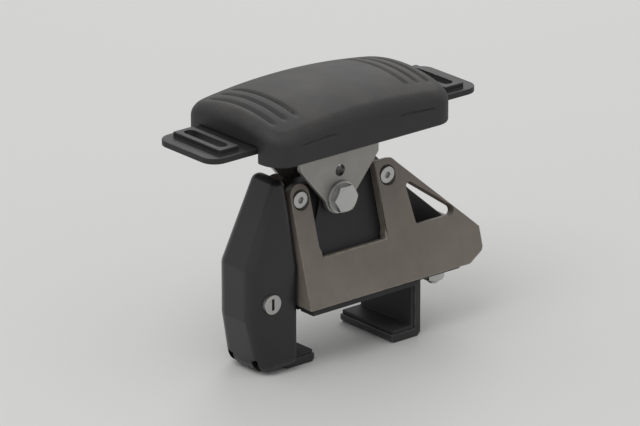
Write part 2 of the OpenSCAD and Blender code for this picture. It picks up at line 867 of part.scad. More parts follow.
// Tray under the pad, with a strap slot at each end
module pad_tray() {
    lug_y = yoke_l / 2 - 1.5 * lug_t - lug_gap;
    color([0.08, 0.08, 0.08])
    difference() {
        union() {
            translate([0, pitch_y, tray_under]) linear_extrude(tray_t) tray_outline();
            for (s = [-1, 1]) roll_lug(lug_y, s, tray_under + over, lug_r);
            // Collars round the strap slots
            for (s = [-1, 1]) translate([0, pitch_y + s * slot_y, tray_under])
                linear_extrude(tray_t + 2.5) difference() {
                    square([slot_l + 6, slot_w + 6], center = true);
                    slot_outline();
                }
        }
        for (s = [-1, 1]) translate([0, pitch_y + s * slot_y, tray_under - over])
            linear_extrude(tray_t + 2 * over) slot_outline();
        translate([0, 0, roll_z]) rod_y(roll_d / 2 + run_fit, -100, 100);
        for (p = pad_screw_places) translate([p[0], pitch_y + p[1], tray_under - over])
            cylinder(d = pad_screw_d + 0.4, h = tray_t + 2 * over);
    }
}

// Plan of the pad with round corners, smaller by a margin
module pad_outline(margin) {
    r = 12 - margin;
    w = pad_w / 2 - margin - r;
    l = pad_l / 2 - margin - r;
    square([2 * w, 2 * (l + r)], center = true);
    square([2 * (w + r), 2 * l], center = true);
    for (x = [-w, w], y = [-l, l]) translate([x, y]) circle(r);
}

// Crowned rubber pad with a skirt round the tray
module rubber_pad() {
    color([0.05, 0.05, 0.05])
    translate([0, pitch_y, 0]) difference() {
        intersection() {
            translate([0, 0, tray_top - skirt_drop])
                linear_extrude(pad_h + skirt_drop + over) pad_outline(0);
            translate([0, 0, pad_top - crown_r]) rotate([90, 0, 0])
                cylinder(r = crown_r, h = pad_l + 20, center = true, $fn = 96);
            translate([0, 0, pad_top - camber_r]) rotate([0, 90, 0])
                cylinder(r = camber_r, h = pad_w + 20, center = true, $fn = 96);
        }
        pad_room();
        for (p = pad_screw_places) translate([p[0], p[1], tray_top - over])
            cylinder(d = pad_screw_d, h = pad_screw_depth + over);
    }
}

// Space under the pad: the tray, and the hollow below it
module pad_room() {
    translate([0, 0, tray_top - skirt_drop - over]) {
        linear_extrude(skirt_drop + over) translate([-tray_w / 2, -pad_l / 2 + 5])
            square([tray_w, pad_l - 10]);
        linear_extrude(skirt_drop + over) translate([-wing_w / 2 - 0.5, -pad_l])
            square([wing_w + 1, 2 * pad_l]);
    }
}

// Screws from below, through the tray into the pad
module pad_screws() {
    color([0.7, 0.7, 0.68])
    for (p = pad_screw_places) translate([p[0], pitch_y + p[1], tray_under]) {
        translate([0, 0, -pad_head_h]) cylinder(d = pad_head_d, h = pad_head_h);
        cylinder(d = pad_screw_d, h = tray_t + pad_screw_depth);
    }
}

base_frame();
core_post();
frame_bolts();
frame_nuts();
bar_seat_pad();
rear_jaw();
rear_jaw_liner();
rear_jaw_bolts();
rear_jaw_nuts();
clamp_nut();
pitch_bush();
friction_discs();
front_jaw();
front_jaw_liner();
clamp_washer();
cover_pin();
clamp_knob();
clamp_screw();
screw_clip();
clamp_cover();
lock_cylinder();
lock_cam();
cam_clip();
yoke();
pitch_bolt();
pitch_nut();
pitch_washers();
roll_pin();
roll_clips();
pad_tray();
rubber_pad();
pad_screws();
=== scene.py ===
"""Kayak saddle carrier: the finished look of one saddle with its clamp, yoke, tray and pad.

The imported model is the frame. Each operator dresses one group of pieces in place.
Shapes are worked out in millimetres and put into the mesh in metres.
"""

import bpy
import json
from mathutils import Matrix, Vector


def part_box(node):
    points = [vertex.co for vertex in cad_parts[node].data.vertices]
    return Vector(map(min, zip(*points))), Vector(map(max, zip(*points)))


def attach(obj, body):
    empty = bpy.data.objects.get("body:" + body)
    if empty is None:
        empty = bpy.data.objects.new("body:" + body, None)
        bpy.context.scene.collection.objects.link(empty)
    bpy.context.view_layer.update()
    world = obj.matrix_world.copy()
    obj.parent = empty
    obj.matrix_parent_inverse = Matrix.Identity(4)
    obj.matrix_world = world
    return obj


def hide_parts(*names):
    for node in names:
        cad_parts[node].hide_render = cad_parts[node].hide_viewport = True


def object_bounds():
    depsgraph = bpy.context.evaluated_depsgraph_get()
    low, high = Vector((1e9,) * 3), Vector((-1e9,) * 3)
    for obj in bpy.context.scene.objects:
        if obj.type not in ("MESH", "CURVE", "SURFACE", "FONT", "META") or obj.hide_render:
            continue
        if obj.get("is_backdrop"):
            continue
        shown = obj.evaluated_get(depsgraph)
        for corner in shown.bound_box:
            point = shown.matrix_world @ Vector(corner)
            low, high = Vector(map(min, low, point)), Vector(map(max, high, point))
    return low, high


bl_info = {
    "name": "Kayak saddle carrier",
    "version": (1, 0, 0),
    "blender": (4, 5, 0),
    "location": "View3D > Sidebar > Saddle",
    "description": "Builds a kayak saddle carrier with its clamp, yoke, tray and rubber pad",
    "category": "Object",
}

import json
import math

import bmesh
import bpy
import numpy as np
from bpy.props import FloatProperty, FloatVectorProperty, IntProperty, PointerProperty
from mathutils import Vector

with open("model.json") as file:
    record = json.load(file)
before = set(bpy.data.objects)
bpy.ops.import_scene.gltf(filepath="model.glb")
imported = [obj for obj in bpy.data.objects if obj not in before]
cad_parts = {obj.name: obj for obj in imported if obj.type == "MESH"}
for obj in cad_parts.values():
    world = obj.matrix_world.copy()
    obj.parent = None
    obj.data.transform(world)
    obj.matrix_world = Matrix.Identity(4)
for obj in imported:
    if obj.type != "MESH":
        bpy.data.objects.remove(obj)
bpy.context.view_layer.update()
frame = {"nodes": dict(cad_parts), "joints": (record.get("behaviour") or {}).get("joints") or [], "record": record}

MM = 0.001

# Rounded edges of the copied solids
HARD_ANGLE = 32  # degrees; an edge that bends by more is rounded or sharp
FLAT_ANGLE = 0.3  # degrees; faces that meet at less become one
BEVEL_STEPS = 3
ROOM_SHARE = 0.36  # what a rounding may take of the room beside its edge
SMOOTH_RUN = -0.8  # cosine between two edges, below which they go on smoothly
WELD = 2e-6  # metres; points that lie closer become one

# Fasteners, in mm
ROUND_COLUMNS = 48
FACET_ANGLE = 40  # degrees; an edge of a thread or hexagon that bends by more is sharp
HEX_TOP = 0.47  # radius of a hexagon's flat end, as a share of its width across flats
HEX_HEAD_H = 4.0
SMALL_BEVEL = 0.15
THREAD_DEPTH = 0.54  # as a share of the pitch
BORE_GAP, BORE_BEVEL = 0.05, 0.3  # between a bolt and its nut's bore, and the bore's bevel

# Knob, in mm: its scallops, the socket and bore for the clamp screw, and the hub behind
KNOB_SCALLOPS = 7
SCALLOP_OUT, SCALLOP_R = 2.6, 4.6  # how far the centre lies outside the rim, and the radius
RIM_BLEND = 0.35  # softness of the corner between a scallop and the rim
KNOB_SOCKET, SOCKET_DEPTH, SOCKET_BEVEL = 10.1, 4.0, 0.4
KNOB_BORE_R, HUB_R, HUB_H = 3.06, 7.0, 3.0
FRONT_EDGE, BACK_EDGE = 1.6, 1.2

# Rubber pad, in mm
COLLAR_RISE = 2.5  # of the tray's highest point above the deck that the rubber lies on
WING_HALF = 22.5  # half the width of the gap in the skirt over a wing
DECK_GAP = 0.05  # between the deck and the rubber on it
LIP_R, LIP_MID = 0.8, 0.24  # radius of the skirt's lower edge, and the inset of its middle
GROOVE_HALF, GROOVE_FADE = 24.0, 0.7  # half a groove's length, and how softly it ends
FIRST_GROOVE = 3.0  # from the rounded edge to the middle of the first groove
SIDE_GROOVES = (2.6, 8.6)  # heights above the deck
SIDE_GROOVE_HALF, SIDE_FADE = 0.8, 0.5  # half a side groove's width, and how softly it ends
CORNER_GAP = 1.5  # from the corner's arc to a side groove
ARC_STEPS, LONG_STEPS, SHORT_STEPS = 9, 122, 42  # points in a corner, a long and a short side
CROWN_ROWS, SKIRT_ROWS, UNDER_ROWS = 34, 34, 12
PAD_ANGLE = 50  # degrees; an edge of the rubber that bends by more is sharp


def box_mm(node):
    """Lowest and highest corner of a node at rest, in millimetres."""
    low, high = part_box(node)
    return np.array(low) / MM, np.array(high) / MM


def joint_place(name):
    """A point on a joint's axis at rest, in millimetres."""
    joint = next(j for j in frame["joints"] if j["name"] == name)
    return np.array(joint["pos_m"], float) / MM


# Sizes and colours that a user would change

def length(name, description, default, low, high):
    """A length in millimetres, for a property group."""
    return FloatProperty(name=name, description=description, default=default, min=low, max=high)


def tint(name, description, default):
    """A linear colour, for a property group."""
    return FloatVectorProperty(name=name, description=description, default=default, size=3,
                               min=0.0, max=1.0, subtype="COLOR")


class SaddlePad(bpy.types.PropertyGroup):
    """Shape of the rubber pad."""

    corner: length("Corner radius", "Radius of the pad's corners in plan, in mm", 12.0, 4, 20)
    edge: length("Edge radius", "Radius between the pad's side and its crown, in mm", 5.5, 2, 8)
    across: length("Crown radius", "Radius of the crown across the pad, in mm", 92.0, 60, 200)
    along: length("Camber radius", "Radius of the crown along the pad, in mm", 345.0, 200, 900)
    wall: length("Skirt wall", "Thickness of the skirt round the tray, in mm", 4.4, 2, 6)
    groove_depth: length("Groove depth", "Depth of the grooves in the crown, in mm", 1.1, 0, 2)
    groove_width: length("Groove width", "Width of the grooves in the crown, in mm", 2.0, 1, 5)
    groove_gap: length("Groove spacing", "Distance between the grooves, in mm", 7.0, 4, 20)
    grooves: IntProperty(name="Grooves", description="Grooves across each end of the crown",
                         default=3, min=0, max=6)
    side_depth: length("Side groove depth", "Depth of the short grooves in the sides, in mm", 0.8, 0, 2)
    side_reach: length("Side groove length", "Length of a side groove from its corner, in mm",
                       26.0, 5, 60)


class SaddleFasteners(bpy.types.PropertyGroup):
    """Threads and rounded edges."""

    fine_pitch: length("Fine pitch", "Pitch of the 6 mm threads, in mm", 1.0, 0.5, 2)
    coarse_pitch: length("Coarse pitch", "Pitch of the 8 mm thread, in mm", 1.25, 0.5, 2)
    moulded_round: length("Moulded edges", "Radius of the edges of moulded pieces, in mm", 0.8, 0.1, 1.5)
    steel_round: length("Steel edges", "Radius of the edges of steel plates, in mm", 0.45, 0.1, 1)
    small_round: length("Small edges", "Radius of the edges of small pieces, in mm", 0.2, 0.05, 0.5)


class SaddleColours(bpy.types.PropertyGroup):
    """Colours of the finishes."""

    frame: tint("Frame", "Warm grey satin finish of the frame", (0.165, 0.141, 0.120))
    nylon: tint("Nylon", "Black moulded nylon", (0.009, 0.009, 0.010))
    cover: tint("Cover", "Smooth black plastic of the cover", (0.008, 0.008, 0.009))
    rubber: tint("Rubber", "Black rubber of the pad and liners", (0.016, 0.016, 0.018))
    black_steel: tint("Black steel", "Powder coat of the jaws", (0.014, 0.014, 0.015))
    yoke: tint("Yoke", "Dull zinc of the yoke", (0.32, 0.31, 0.29))
    zinc: tint("Zinc", "Bright zinc of the fasteners", (0.50, 0.50, 0.49))
    spring: tint("Spring steel", "Dark spring steel of the clips", (0.10, 0.10, 0.105))
    lock: tint("Lock", "Plated face of the lock", (0.46, 0.45, 0.43))
    bush: tint("Bush", "Pale plastic of the pivot bush", (0.62, 0.60, 0.54))
    dust: tint("Dust", "Road dust that has settled on top", (0.20, 0.18, 0.15))


class SaddleStage(bpy.types.PropertyGroup):
    """Camera, lights and floor."""

    azimuth: FloatProperty(name="Azimuth", description="Camera's turn round the part, in degrees",
                           default=50.0, min=-360, max=360)
    elevation: FloatProperty(name="Elevation", description="Camera's height above level, in degrees",
                             default=20.4, min=-10, max=90)
    distance: FloatProperty(name="Distance", description="Camera's distance from the part",
                            default=2.9, min=0.5, max=10, unit="LENGTH")
    lens: FloatProperty(name="Lens", description="Focal length of the camera, in mm",
                        default=330.0, min=20, max=800)
    floor: tint("Floor", "Pale floor under the part", (0.70, 0.70, 0.69))
    sky: FloatProperty(name="Sky", description="Strength of the light from all sides",
                       default=0.62, min=0, max=3)
    key: FloatProperty(name="Key light", description="Power of the large lamp above, in watts",
                       default=9.0, min=0, max=200)
    rim: FloatProperty(name="Rim light", description="Power of the lamp behind, in watts",
                       default=4.0, min=0, max=200)


# Surfaces

def round_angles(columns):
    """Equal angles round a circle, one a column."""
    return np.arange(columns) * 2 * np.pi / columns


def grid_faces(rows, columns, ring=False):
    """Quads between neighbouring rows and columns.

    The last column joins the first, and in a ring the last row joins the first row too.
    """
    row, column = np.meshgrid(np.arange(rows if ring else rows - 1), np.arange(columns), indexing="ij")
    below, above = row * columns, (row + 1) % rows * columns
    beside = (column + 1) % columns
    return np.stack([below + column, below + beside, above + beside, above + column], -1).reshape(-1, 4)


def turned(rows, columns, ring=False):
    """Surface round an axis, from rows of (r, z), each a number or one value a column.

    Point (i, j) = (r_ij cos t_j, r_ij sin t_j, z_ij) with t_j = 2 pi j / columns.
    """
    angle = round_angles(columns)
    r = np.array([np.broadcast_to(row[0], columns) for row in rows], float)
    z = np.array([np.broadcast_to(row[1], columns) for row in rows], float)
    points = np.stack([r * np.cos(angle), r * np.sin(angle), z], -1).reshape(-1, 3)
    return points, grid_faces(len(rows), columns, ring)


AXES = {
    "x": np.array([[0, 0, 1], [1, 0, 0], [0, 1, 0]]),
    "y": np.array([[0, 1, 0], [0, 0, 1], [1, 0, 0]]),
    "z": np.eye(3),
}


def placed(points, at, axis):
    """Points turned so that their own z runs along axis ("x", "-y" and so on), and moved to at."""
    if axis[0] == "-":
        points = points * (1, -1, -1)
    return points @ AXES[axis[-1]].T + np.asarray(at, float)


def joined(parts):
    """One list of points and one of faces from several."""
    points, faces, count = [], [], 0
    for part_points, part_faces in parts:
        points.append(part_points)
        faces.append(part_faces + count)
        count += len(part_points)
    return np.concatenate(points), np.concatenate(faces)


def solids(node):
    """Lowest and highest corner of each separate solid of a node, in millimetres.

    Points at one place get one number, and each number spreads along the edges until none changes.
    """
    mesh = frame["nodes"][node].data
    points = np.zeros(len(mesh.vertices) * 3)
    mesh.vertices.foreach_get("co", points)
    points = points.reshape(-1, 3) / MM
    edges = np.zeros(len(mesh.edges) * 2, int)
    mesh.edges.foreach_get("vertices", edges)
    edges = edges.reshape(-1, 2)
    _, label = np.unique(np.round(points, 3), axis=0, return_inverse=True)
    label = label.reshape(-1)
    place = label.copy()
    while True:
        low = label[edges].min(axis=1)
        spread = np.full(place.max() + 1, place.max() + 1)
        np.minimum.at(spread, place[edges[:, 0]], low)
        np.minimum.at(spread, place[edges[:, 1]], low)
        np.minimum.at(spread, place, label)
        new = spread[place]
        if (new == label).all():
            break
        label = new
    return [(points[label == k].min(axis=0), points[label == k].max(axis=0)) for k in np.unique(label)]


# Pieces

def body_of_node(node):
    """The CAD body that a node rides on."""
    bodies = frame["record"]["behaviour"]["bodies"]
    return next(body for body, members in bodies.items() if node in members)


def slot_of_node(node):
    """The record's material slot of a node, which is also the name of its finish."""
    return frame["nodes"][node].material_slots[0].name.split(".")[0]


def new_object(name, data):
    """An object with its data, linked to the scene."""
    made = bpy.data.objects.new(name, data)
    bpy.context.scene.collection.objects.link(made)
    return made


def seat(piece, node):
    """Lets a finished piece ride on its CAD body, in place of its node."""
    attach(piece, body_of_node(node))
    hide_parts(node)


def surface_piece(name, points, faces, node, sharp=HARD_ANGLE):
    """A new piece from points in millimetres, closed at its poles and seams, with its faces outward.

    An edge that bends by more than sharp, in degrees, is shaded as a sharp one.
    """
    mesh = bpy.data.meshes.new(name)
    mesh.from_pydata((points * MM).tolist(), [], faces.tolist())
    work = bmesh.new()
    work.from_mesh(mesh)
    bmesh.ops.remove_doubles(work, verts=work.verts, dist=WELD)
    bmesh.ops.dissolve_degenerate(work, edges=work.edges, dist=1e-7)
    bmesh.ops.recalc_face_normals(work, faces=work.faces)
    work.to_mesh(mesh)
    work.free()
    mesh.shade_smooth()
    mesh.set_sharp_from_angle(angle=math.radians(sharp))
    mesh.materials.append(MATERIALS[slot_of_node(node)])
    seat(new_object(name, mesh), node)


def face_room(edge, face):
    """Distance from an edge to the nearest part of a face that lies beside it, across the face."""
    start, end = (v.co for v in edge.verts)
    along = end - start
    run = along.length
    along.normalize()
    side = face.normal.cross(along)
    least = 1.0
    for other in face.edges:
        if set(other.verts) & set(edge.verts):
            continue
        places = sorted(((v.co - start).dot(along), (v.co - start).dot(side)) for v in other.verts)
        ends, across = zip(*places)
        if ends[1] < 0.001 * run or ends[0] > 0.999 * run:
            continue
        gaps = np.interp(np.clip(ends, 0, run), ends, across)
        least = min(least, *np.abs(gaps))
    return least


def weigh_hard_edges(work, width):
    """Writes into the bevel weight of each hard edge the share of the width that has room beside it.

    A rounding takes at most ROOM_SHARE of the room on either face. A run of edges that go on
    smoothly gets the width of its narrowest edge.
    """
    layer = work.edges.layers.float.new("bevel_weight_edge")
    hard = {e for e in work.edges
            if len(e.link_faces) == 2 and e.calc_face_angle(0) > math.radians(HARD_ANGLE)}
    room = {e: min(width, *(ROOM_SHARE * face_room(e, f) for f in e.link_faces)) for e in hard}
    queue = sorted(hard, key=room.get)
    while queue:
        edge = queue.pop(0)
        for vert in edge.verts:
            mine = (edge.other_vert(vert).co - vert.co).normalized()
            for other in vert.link_edges:
                if other is edge or room.get(other, 0) <= room[edge] + 1e-9:
                    continue
                if mine.dot((other.other_vert(vert).co - vert.co).normalized()) < SMOOTH_RUN:
                    room[other] = room[edge]
                    queue.append(other)
    for edge in hard:
        edge[layer] = room[edge] / width


def rounded_piece(name, node, width):
    """A copy of a node's solid with its hard edges rounded, and the rounded strips marked as "edge"."""
    mesh = frame["nodes"][node].data.copy()
    mesh.name = name
    work = bmesh.new()
    work.from_mesh(mesh)
    bmesh.ops.remove_doubles(work, verts=work.verts, dist=WELD)
    bmesh.ops.dissolve_limit(work, angle_limit=math.radians(FLAT_ANGLE), verts=work.verts,
                             edges=work.edges)
    weigh_hard_edges(work, width * MM)
    work.to_mesh(mesh)
    work.free()
    piece = new_object(name, mesh)
    mesh.shade_smooth()
    bevel = piece.modifiers.new("rounded edges", "BEVEL")
    bevel.width = width * MM
    bevel.segments = BEVEL_STEPS
    bevel.limit_method = "WEIGHT"
    bevel.use_clamp_overlap = False
    bevel.miter_outer = "MITER_SHARP"
    bevel.material = 1
    even = piece.modifiers.new("even shading", "WEIGHTED_NORMAL")
    even.keep_sharp = True
    even.weight = 100
    mesh.materials.clear()
    for _ in range(2):
        mesh.materials.append(MATERIALS[slot_of_node(node)])
    ready = bpy.data.meshes.new_from_object(piece.evaluated_get(bpy.context.evaluated_depsgraph_get()))
    piece.modifiers.clear()
    piece.data = ready
    bpy.data.meshes.remove(mesh)
    ready.name = name
    mark_edges(ready)
    seat(piece, node)


def mark_edges(mesh):
    """Writes 1 into the attribute "edge" on the faces of the rounded strips, and 0 elsewhere."""
    strip = np.zeros(len(mesh.polygons), np.int32)
    mesh.polygons.foreach_get("material_index", strip)
    corners = np.zeros(len(mesh.polygons), np.int32)
    mesh.polygons.foreach_get("loop_total", corners)
    edge = mesh.attributes.new("edge", "FLOAT", "CORNER")
    edge.data.foreach_set("value", np.repeat(strip, corners).astype(np.float32))
    mesh.polygons.foreach_set("material_index", np.zeros(len(mesh.polygons), np.int32))
    mesh.materials.pop()
    mesh.update()


# Shader node groups

def add(tree, kind, inputs=(), **settings):
    """A node with its settings, whose inputs are set to a value or joined to another node's output."""
    node = tree.nodes.new(kind)
    for key, value in settings.items():
        setattr(node, key, value)
    for key, value in dict(inputs).items():
        if isinstance(value, bpy.types.NodeSocket):
            tree.links.new(value, node.inputs[key])
        else:
            node.inputs[key].default_value = value
    return node


def math_node(tree, operation, a, b=0.0, clamp=False):
    """The output of a Math node."""
    return add(tree, "ShaderNodeMath", {0: a, 1: b}, operation=operation, use_clamp=clamp).outputs[0]


def ramp(tree, value, low, high, to_low=0.0, to_high=1.0):
    """The output of a Map Range node with smooth ends."""
    inputs = {"Value": value, "From Min": low, "From Max": high, "To Min": to_low, "To Max": to_high}
    return add(tree, "ShaderNodeMapRange", inputs, interpolation_type="SMOOTHSTEP").outputs["Result"]


def noise(tree, vector, scale, detail=3.0, roughness=0.55):
    """The grey output of a Noise Texture."""
    inputs = {"Vector": vector, "Scale": scale, "Detail": detail, "Roughness": roughness}
    return add(tree, "ShaderNodeTexNoise", inputs).outputs["Fac"]


def mix_colour(tree, mask, a, b):
    """The colour output of a Mix node, whose colours are its sockets 6 and 7."""
    return add(tree, "ShaderNodeMix", {0: mask, 6: a, 7: b}, data_type="RGBA").outputs[2]


def new_group(name, inputs, outputs):
    """An empty node group with its sockets, and its input and output nodes."""
    tree = bpy.data.node_groups.new(name, "ShaderNodeTree")
    for socket, kind, value in inputs:
        made = tree.interface.new_socket(socket, in_out="INPUT", socket_type=kind)
        if value is not None:
            made.default_value = value
    for socket, kind in outputs:
        tree.interface.new_socket(socket, in_out="OUTPUT", socket_type=kind)
    return tree, tree.nodes.new("NodeGroupInput"), tree.nodes.new("NodeGroupOutput")


FLOAT, COLOUR, VECTOR = "NodeSocketFloat", "NodeSocketColor", "NodeSocketVector"


def grain_group():
    """Moulded or cast grain: a height, and a roughness that varies round a middle value."""
    tree, given, out = new_group(
        "fine grain",
        [("Vector", VECTOR, None), ("Scale", FLOAT, 1500.0), ("Roughness", FLOAT, 0.5),
         ("Spread", FLOAT, 0.1)],
        [("Height", FLOAT), ("Roughness", FLOAT)])
    fine = noise(tree, given.outputs["Vector"], given.outputs["Scale"], 2.0)
    wide_scale = math_node(tree, "MULTIPLY", given.outputs["Scale"], 0.03)
    wide = noise(tree, given.outputs["Vector"], wide_scale, 4.0, 0.6)
    shift = math_node(tree, "SUBTRACT", wide, 0.5)
    shift = math_node(tree, "MULTIPLY", shift, given.outputs["Spread"])
    shift = math_node(tree, "MULTIPLY", shift, 2.0)
    tree.links.new(fine, out.inputs["Height"])
    tree.links.new(math_node(tree, "ADD", given.outputs["Roughness"], shift), out.inputs["Roughness"])
    return tree


def blotch_group():
    """Uneven colour: the base gets a little lighter and darker in soft patches."""
    tree, given, out = new_group(
        "soft patches",
        [("Vector", VECTOR, None), ("Colour", COLOUR, None), ("Scale", FLOAT, 60.0),
         ("Amount", FLOAT, 0.15)],
        [("Colour", COLOUR)])
    patch = noise(tree, given.outputs["Vector"], given.outputs["Scale"], 5.0, 0.65)
    shift = math_node(tree, "MULTIPLY", math_node(tree, "SUBTRACT", patch, 0.5), given.outputs["Amount"])
    factor = math_node(tree, "ADD", math_node(tree, "MULTIPLY", shift, 2.0), 1.0)
    scaled = add(tree, "ShaderNodeVectorMath", {0: given.outputs["Colour"]}, operation="SCALE")
    tree.links.new(factor, scaled.inputs["Scale"])
    tree.links.new(scaled.outputs[0], out.inputs["Colour"])
    return tree


def dust_group():
    """Dust that lies on faces that look up, thicker in soft patches: mask = up * patches * amount.

    up is a smooth step on the Z of the face's normal.
    """
    tree, given, out = new_group(
        "settled dust",
        [("Vector", VECTOR, None), ("Colour", COLOUR, None), ("Dust", COLOUR, None),
         ("Amount", FLOAT, 0.4)],
        [("Colour", COLOUR), ("Mask", FLOAT)])
    normal = tree.nodes.new("ShaderNodeNewGeometry").outputs["Normal"]
    up = add(tree, "ShaderNodeSeparateXYZ", {"Vector": normal}).outputs["Z"]
    up = ramp(tree, up, 0.15, 0.95, 0.12, 1.0)
    wide = ramp(tree, noise(tree, given.outputs["Vector"], 45.0, 5.0, 0.6), 0.35, 0.7, 0.35, 1.0)
    fine = ramp(tree, noise(tree, given.outputs["Vector"], 900.0, 2.0), 0.3, 0.7, 0.6, 1.0)
    mask = math_node(tree, "MULTIPLY", math_node(tree, "MULTIPLY", up, wide), fine)
    mask = math_node(tree, "MULTIPLY", mask, given.outputs["Amount"], clamp=True)
    tree.links.new(mix_colour(tree, mask, given.outputs["Colour"], given.outputs["Dust"]),
                   out.inputs["Colour"])
    tree.links.new(mask, out.inputs["Mask"])
    return tree


def wear_and_highlight_group():
    """Lighter colour on the rounded edges, partly wear and partly a painted highlight along them: the attribute
    "edge" broken up by noise.
    """
    tree, given, out = new_group(
        "edge wear",
        [("Vector", VECTOR, None), ("Colour", COLOUR, None), ("Bare", COLOUR, None),
         ("Amount", FLOAT, 0.5)],
        [("Colour", COLOUR), ("Mask", FLOAT)])
    edge = add(tree, "ShaderNodeAttribute", attribute_name="edge").outputs["Fac"]
    patch = ramp(tree, noise(tree, given.outputs["Vector"], 220.0, 4.0, 0.7), 0.35, 0.65)
    # The rounded strips get the lighter colour: partly wear, partly a painted highlight along the edges.
    mask = math_node(tree, "MULTIPLY", math_node(tree, "MULTIPLY", edge, patch), given.outputs["Amount"])
    tree.links.new(mix_colour(tree, mask, given.outputs["Colour"], given.outputs["Bare"]),
                   out.inputs["Colour"])
    tree.links.new(mask, out.inputs["Mask"])
    return tree


def scratch_group():
    """Fine lines along Y, as rolled or brushed metal has: noise squeezed across the lines."""
    tree, given, out = new_group(
        "fine lines",
        [("Vector", VECTOR, None), ("Scale", FLOAT, 900.0)],
        [("Height", FLOAT)])
    stretched = add(tree, "ShaderNodeMapping", {"Vector": given.outputs["Vector"],
                                                "Scale": (1.0, 0.03, 1.0)}).outputs[0]
    lines = noise(tree, stretched, given.outputs["Scale"], 3.0, 0.7)
    tree.links.new(lines, out.inputs["Height"])
    return tree


GROUPS = {}  # shared node groups by name, filled by the first operator


def use(tree, group, **inputs):
    """A node of one of the shared groups, with its inputs set."""
    return add(tree, "ShaderNodeGroup", inputs, node_tree=GROUPS[group])


def rgba(colour):
    """A colour with its alpha."""
    return (*colour, 1.0)


def finish(name, colour, dust_colour, roughness, spread=0.08, grain=1500.0, depth=0.02, patches=0.12,
           dust=0.2, bare=None, wear=0.0, metallic=0.0, lines=0.0, coat=0.0):
    """One finish: patches of colour, lighter rounded edges (partly wear, partly a painted highlight), dust, grain
    and, on metal, fine lines.

    depth is the height of the grain in mm, and lines the height of the fine lines. The arguments for the edge
    colour and its amount give the lighter colour of the rounded edges, partly wear and partly a painted highlight;
    dust gives the amount of dust.
    """
    made = bpy.data.materials.new(name)
    made.use_nodes = True
    tree = made.node_tree
    shader = tree.nodes["Principled BSDF"]
    where = tree.nodes.new("ShaderNodeTexCoord").outputs["Object"]
    body = use(tree, "soft patches", Vector=where, Colour=rgba(colour), Amount=patches)
    # Lighter rounded edges: partly wear, partly a painted highlight along the edges.
    worn_and_highlit = use(tree, "edge wear", Vector=where, Colour=body.outputs["Colour"],
               Bare=rgba(bare or colour), Amount=wear)
    dusty = use(tree, "settled dust", Vector=where, Colour=worn_and_highlit.outputs["Colour"],
                Dust=rgba(dust_colour), Amount=dust)
    grained = use(tree, "fine grain", Vector=where, Scale=grain, Roughness=roughness, Spread=spread)
    rough = math_node(tree, "MULTIPLY", dusty.outputs["Mask"], 0.25)
    rough = math_node(tree, "ADD", rough, grained.outputs["Roughness"], clamp=True)
    height = math_node(tree, "MULTIPLY", grained.outputs["Height"], depth)
    if lines:
        brushed = use(tree, "fine lines", Vector=where)
        raised = math_node(tree, "MULTIPLY", brushed.outputs["Height"], lines)
        height = math_node(tree, "ADD", height, raised)
    bump = add(tree, "ShaderNodeBump", {"Height": height, "Strength": 1.0, "Distance": MM})
    tree.links.new(dusty.outputs["Colour"], shader.inputs["Base Color"])
    tree.links.new(rough, shader.inputs["Roughness"])
    tree.links.new(bump.outputs["Normal"], shader.inputs["Normal"])
    shader.inputs["Metallic"].default_value = metallic
    shader.inputs["Coat Weight"].default_value = coat
    return made


MATERIALS = {}  # finishes by slot, filled by the first operator

# Each slot's finish: its colour in SaddleColours, its roughness, and its other values. The edge colour and its
# amount lighten the rounded edges: partly wear, partly a painted highlight.
FINISHES = {
    "frame_grey": ("frame", 0.46, dict(
        spread=0.14, depth=0.012, grain=1300.0, patches=0.30, dust=0.5,
        bare=(0.30, 0.265, 0.225), wear=0.8)),
    "black_plastic": ("nylon", 0.52, dict(
        depth=0.012, grain=1400.0, dust=0.05, bare=(0.035, 0.035, 0.035), wear=0.35)),
    "cover_plastic": ("cover", 0.34, dict(
        depth=0.006, grain=1800.0, dust=0.08, bare=(0.03, 0.03, 0.03), wear=0.2, coat=0.1)),
    "black_rubber": ("rubber", 0.72, dict(
        depth=0.015, grain=1100.0, dust=0.15, bare=(0.05, 0.05, 0.05), wear=0.2)),
    "pad_rubber": ("rubber", 0.58, dict(grain=900.0, dust=0.22, patches=0.25)),
    "black_steel": ("black_steel", 0.45, dict(
        grain=1000.0, bare=(0.11, 0.105, 0.10), wear=0.5, coat=0.05)),
    "yoke_steel": ("yoke", 0.42, dict(
        spread=0.14, depth=0.006, grain=700.0, patches=0.22, dust=0.25,
        bare=(0.55, 0.54, 0.51), wear=0.5, metallic=0.75, lines=0.012)),
    "zinc_steel": ("zinc", 0.33, dict(
        spread=0.12, depth=0.004, grain=900.0, patches=0.15, dust=0.15,
        bare=(0.7, 0.7, 0.68), wear=0.3, metallic=0.95, lines=0.004)),
    "spring_steel": ("spring", 0.38, dict(
        depth=0.004, dust=0.1, bare=(0.3, 0.3, 0.3), wear=0.4, metallic=0.9)),
    "lock_metal": ("lock", 0.28, dict(
        depth=0.003, patches=0.08, dust=0.05, bare=(0.8, 0.8, 0.78), wear=0.3, metallic=0.9)),
    "bush_plastic": ("bush", 0.45, dict(depth=0.006, dust=0.05)),
}


# Rubber pad

